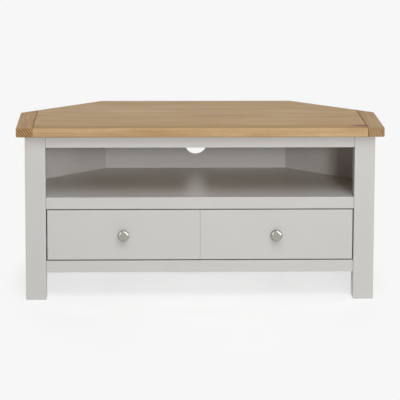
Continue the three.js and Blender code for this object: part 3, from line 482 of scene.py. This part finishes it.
def knob_profile():
    """Foot, neck, lip and head of the knob as [radius, distance from the seat].

    The neck is close to a quarter of an ellipse that flares to the rim: as t goes from 0 to a right
    angle, its radius grows by 1 - cos t of the flare, and its distance by sin t, to a power, of its
    length. The front of the head is a rounded button: with r as a share of the widest radius and p as
    its power, its height is the (1 - r ** p) ** (1 / p) share of the rise.
    """
    turn = np.linspace(0, np.pi / 2, NECK_POINTS)
    neck = np.stack([NECK_RADIUS + NECK_FLARE * (1 - np.cos(turn)),
                     NECK_START + NECK_LENGTH * np.sin(turn) ** NECK_POWER], axis=-1)
    share = np.sin(np.linspace(np.pi / 2, HEAD_TIP, HEAD_POINTS))
    head = np.stack([HEAD_RADIUS * share,
                     HEAD_START + HEAD_RISE * (1 - share ** HEAD_POWER) ** (1 / HEAD_POWER)], axis=-1)
    return np.concatenate([KNOB_FOOT, neck, KNOB_LIP, head]) * MM


def revolve(profile, centre, sides):
    """Rings round a line along Y through the centre: a point at [r, d] of the profile turns to
    x = r cos a, z = r sin a, and lies d in front of the centre."""
    angle = np.linspace(0, 2 * np.pi, sides, endpoint=False)
    radius, forward = profile.T
    x = centre[0] + radius[:, None] * np.cos(angle)
    z = centre[2] + radius[:, None] * np.sin(angle)
    y = np.broadcast_to(centre[1] - forward[:, None], x.shape)
    return np.stack([x, y, z], axis=-1)


def ring_mesh(name, rings, material):
    """A tube of rings, given as an array of [ring, point, xyz], with each end closed by one face."""
    count, around = rings.shape[:2]
    index = np.arange(count * around).reshape(count, around)
    step = np.roll(index, -1, axis=1)
    quads = np.stack([index[:-1], step[:-1], step[1:], index[1:]], axis=-1).reshape(-1, 4)
    mesh = bpy.data.meshes.new(name)
    mesh.from_pydata(rings.reshape(-1, 3).tolist(), [],
                     quads.tolist() + [index[0][::-1].tolist(), index[-1].tolist()])
    mesh.polygons.foreach_set("use_smooth", [True] * len(mesh.polygons))
    mesh.materials.append(material)
    mesh.update()
    piece = bpy.data.objects.new(name, mesh)
    bpy.context.scene.collection.objects.link(piece)
    return piece


for side in ("left", "right"):
    low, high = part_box("knob_" + side)
    seat = ((low.x + high.x) / 2, high.y, (low.z + high.z) / 2)
    knob = ring_mesh("turned_knob_" + side, revolve(knob_profile(), seat, KNOB_SIDES), nickel)
    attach(knob, "drawer")
    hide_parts("knob_" + side)


# Floor and background

WHITE = 0.93  # linear level of the pale background
FLOOR_REACH, FLOOR_LINES = 30.0, 3
FLOOR_COLOUR = "e6e5e4"  # what lights the cabinet from below
FLOOR_GAIN = 1.43  # brings the lit floor up to about the background where nothing shades it
FLOOR_GLOW = 0.7  # share of the background's level under the cabinet; the rest is lit and shaded
SHADOW_NEAR, SHADOW_FAR = 0.48, 0.62  # from the middle: where the shadow starts to fade, and is gone
SHADOW_DEPTH = 0.6  # distances in depth count for less, so the shadow reaches further there


def studio_floor():
    """A flat floor as a grid in x and y.

    The camera sees it pale, with a light shadow near the cabinet and none further out.
    """
    reach = np.linspace(-FLOOR_REACH, FLOOR_REACH, FLOOR_LINES)
    x, y = np.meshgrid(reach, reach)
    points = np.stack([x, y, 0 * x], axis=-1).reshape(-1, 3)
    index = np.arange(x.size).reshape(x.shape)
    faces = np.stack([index[:-1, :-1], index[:-1, 1:], index[1:, 1:], index[1:, :-1]], axis=-1).reshape(-1, 4)
    mesh = bpy.data.meshes.new("studio_floor")
    mesh.from_pydata(points.tolist(), [], faces.tolist())
    floor = bpy.data.objects.new("studio_floor", mesh)
    bpy.context.scene.collection.objects.link(floor)
    material = bpy.data.materials.new("pale_floor")
    material.use_nodes = True
    tree = material.node_tree
    tree.nodes.clear()
    path = add(tree, "ShaderNodeLightPath")
    seen = add(tree, "ShaderNodeMath", {0: path.outputs["Is Camera Ray"], 1: path.outputs["Is Glossy Ray"]},
               operation="MAXIMUM")
    plain = add(tree, "ShaderNodeBsdfDiffuse", {"Color": linear(FLOOR_COLOUR)})
    lit = add(tree, "ShaderNodeBsdfDiffuse", {"Color": [FLOOR_GAIN, FLOOR_GAIN, FLOOR_GAIN, 1]})
    glow = add(tree, "ShaderNodeEmission", {"Color": [WHITE, WHITE, WHITE, 1], "Strength": 1.0})
    place = add(tree, "ShaderNodeTexCoord").outputs["Object"]
    long = add(tree, "ShaderNodeVectorMath", {0: place, 1: (1.0, SHADOW_DEPTH, 1.0)}, operation="MULTIPLY")
    away = add(tree, "ShaderNodeVectorMath", {0: long.outputs[0]}, operation="LENGTH")
    share = add(tree, "ShaderNodeMapRange", {"Value": away.outputs["Value"], "From Min": SHADOW_NEAR,
                                             "From Max": SHADOW_FAR, "To Min": FLOOR_GLOW, "To Max": 1.0},
                interpolation_type="SMOOTHSTEP")
    pale = add(tree, "ShaderNodeMixShader", {0: share.outputs[0], 1: lit.outputs[0], 2: glow.outputs[0]})
    shown = add(tree, "ShaderNodeMixShader", {0: seen.outputs[0], 1: plain.outputs[0], 2: pale.outputs[0]})
    add(tree, "ShaderNodeOutputMaterial", {"Surface": shown.outputs[0]})
    mesh.materials.append(material)


def studio_world():
    """The pale background. Only the camera, gloss and glass see it, so it gives no other light."""
    world = bpy.data.worlds.new("studio")
    bpy.context.scene.world = world
    world.use_nodes = True
    tree = world.node_tree
    tree.nodes.clear()
    path = add(tree, "ShaderNodeLightPath")
    gloss = add(tree, "ShaderNodeMath", {0: path.outputs["Is Camera Ray"], 1: path.outputs["Is Glossy Ray"]},
                operation="MAXIMUM")
    seen = add(tree, "ShaderNodeMath", {0: gloss.outputs[0], 1: path.outputs["Is Transmission Ray"]},
               operation="MAXIMUM")
    level = add(tree, "ShaderNodeMath", {0: seen.outputs[0], 1: WHITE}, operation="MULTIPLY")
    glow = add(tree, "ShaderNodeBackground", {"Color": [1, 1, 1, 1], "Strength": level.outputs[0]})
    add(tree, "ShaderNodeOutputWorld", {"Surface": glow.outputs[0]})


# Light

LAMPS_POINT_AT = Vector((0, -0.25, 0.3))  # the middle of the front
SUN_DISTANCE = 5.0  # only where it is drawn, as a sun's light is the same from any distance


def place_lamp(name, kind, azimuth, elevation, distance, energy):
    """A lamp that shines at the middle of the front. Azimuth 0 is in front, 90 to the right."""
    lamp = bpy.data.lights.new(name, kind)
    lamp.energy = energy
    a, e = math.radians(azimuth), math.radians(elevation)
    towards = Vector((math.sin(a) * math.cos(e), -math.cos(a) * math.cos(e), math.sin(e)))
    holder = bpy.data.objects.new(name, lamp)
    holder.rotation_mode = "QUATERNION"
    holder.rotation_quaternion = towards.to_track_quat("Z", "Y")
    holder.location = LAMPS_POINT_AT + towards * distance
    bpy.context.scene.collection.objects.link(holder)
    return holder


def far_box(name, azimuth, elevation, spread, strength, lights=True, shines=False):
    """A far, wide soft box, as a sun of a given spread.

    A box that lights the cabinet is kept out of its gloss, as a polarising sheet does, and one that
    only shines is there for the highlights on the metal.
    """
    holder = place_lamp(name, "SUN", azimuth, elevation, SUN_DISTANCE, strength)
    holder.data.angle = math.radians(spread)
    holder.visible_glossy = shines
    holder.visible_diffuse = lights


def near_box(name, azimuth, elevation, distance, size, strength):
    """A round soft box close by, so that its light falls off across the cabinet.

    The strength is the light that reaches the middle of the front, in the unit of the far boxes.
    """
    holder = place_lamp(name, "AREA", azimuth, elevation, distance, strength * math.pi * distance ** 2)
    holder.data.shape = "DISK"
    holder.data.size = size
    holder.visible_glossy = False
    holder.visible_camera = False


# Azimuth, elevation and spread in degrees, and strength
FAR_BOXES = {
    "key_soft_box": (5, 10, 6, 0.74),
    "right_soft_box": (8, 5, 5, 0.31),
    "right_upper_soft_box": (9, 14, 7, 0.31),
    "right_side_soft_box": (110, 5, 12, 1.6),
    "left_side_soft_box": (-110, 5, 12, 1.6),
    "back_soft_box": (180, 7, 16, 1.1),
}
# Azimuth and elevation in degrees, distance and size in metres, and strength
NEAR_BOXES = {
    "overhead_soft_box": (15, 50, 3, 2.0, 1.02),
    "left_overhead_soft_box": (-20, 50, 3, 2.0, 0.49),
    "right_fill_soft_box": (30, 25, 2.5, 1.2, 0.36),
}
# As the far boxes: five on the right and two on the left, which draw the highlights on the knobs
SHINE_BOXES = (
    (22, 54, 20, 0.36), (29, 38, 18, 0.30), (37, 24, 18, 0.30), (46, 11, 20, 0.38), (57, 9, 20, 0.34),
    (-50, 10, 20, 0.18), (-56, 30, 20, 0.28),
)


# Camera, as fitted to the straight edges of the photograph

PHOTO_WIDTH = 400  # pixels
FOCAL_LENGTH = 2161.7  # pixels
SHIFT_DOWN = 80  # pixels
SENSOR_WIDTH = 36.0  # mm
YAW, PITCH, ROLL = 0.0301, 0.1571, 0.0031  # radians: to the right, down, and with its right side up
CAMERA_PLACE = (-0.19336, -6.62353, 1.56016)
VIEW_END = 100.0  # metres


def studio_camera():
    """The photograph's camera, 6.3 m in front and a little to the left, looking slightly down."""
    ahead = Vector((math.sin(YAW), math.cos(YAW), 0))
    right = Vector((math.cos(YAW), -math.sin(YAW), 0))
    up = Vector((0, 0, 1))
    look = ahead * math.cos(PITCH) - up * math.sin(PITCH)
    raised = up * math.cos(PITCH) + ahead * math.sin(PITCH)
    side = right * math.cos(ROLL) + raised * math.sin(ROLL)
    over = raised * math.cos(ROLL) - right * math.sin(ROLL)
    lens = bpy.data.cameras.new("camera")
    lens.sensor_width = SENSOR_WIDTH
    lens.lens = FOCAL_LENGTH / PHOTO_WIDTH * SENSOR_WIDTH
    lens.shift_y = -SHIFT_DOWN / PHOTO_WIDTH
    lens.clip_end = VIEW_END
    camera = bpy.data.objects.new("camera", lens)
    turn = Matrix((side, over, -look)).transposed().to_4x4()
    camera.matrix_world = Matrix.Translation(CAMERA_PLACE) @ turn
    bpy.context.scene.collection.objects.link(camera)
    bpy.context.scene.camera = camera


studio_floor()
studio_world()
for name, settings in FAR_BOXES.items():
    far_box(name, *settings)
for name, settings in NEAR_BOXES.items():
    near_box(name, *settings)
for count, settings in enumerate(SHINE_BOXES):
    far_box("shine_" + str(count), *settings, lights=False, shines=True)
studio_camera()

bpy.context.scene.view_settings.view_transform = "Standard"
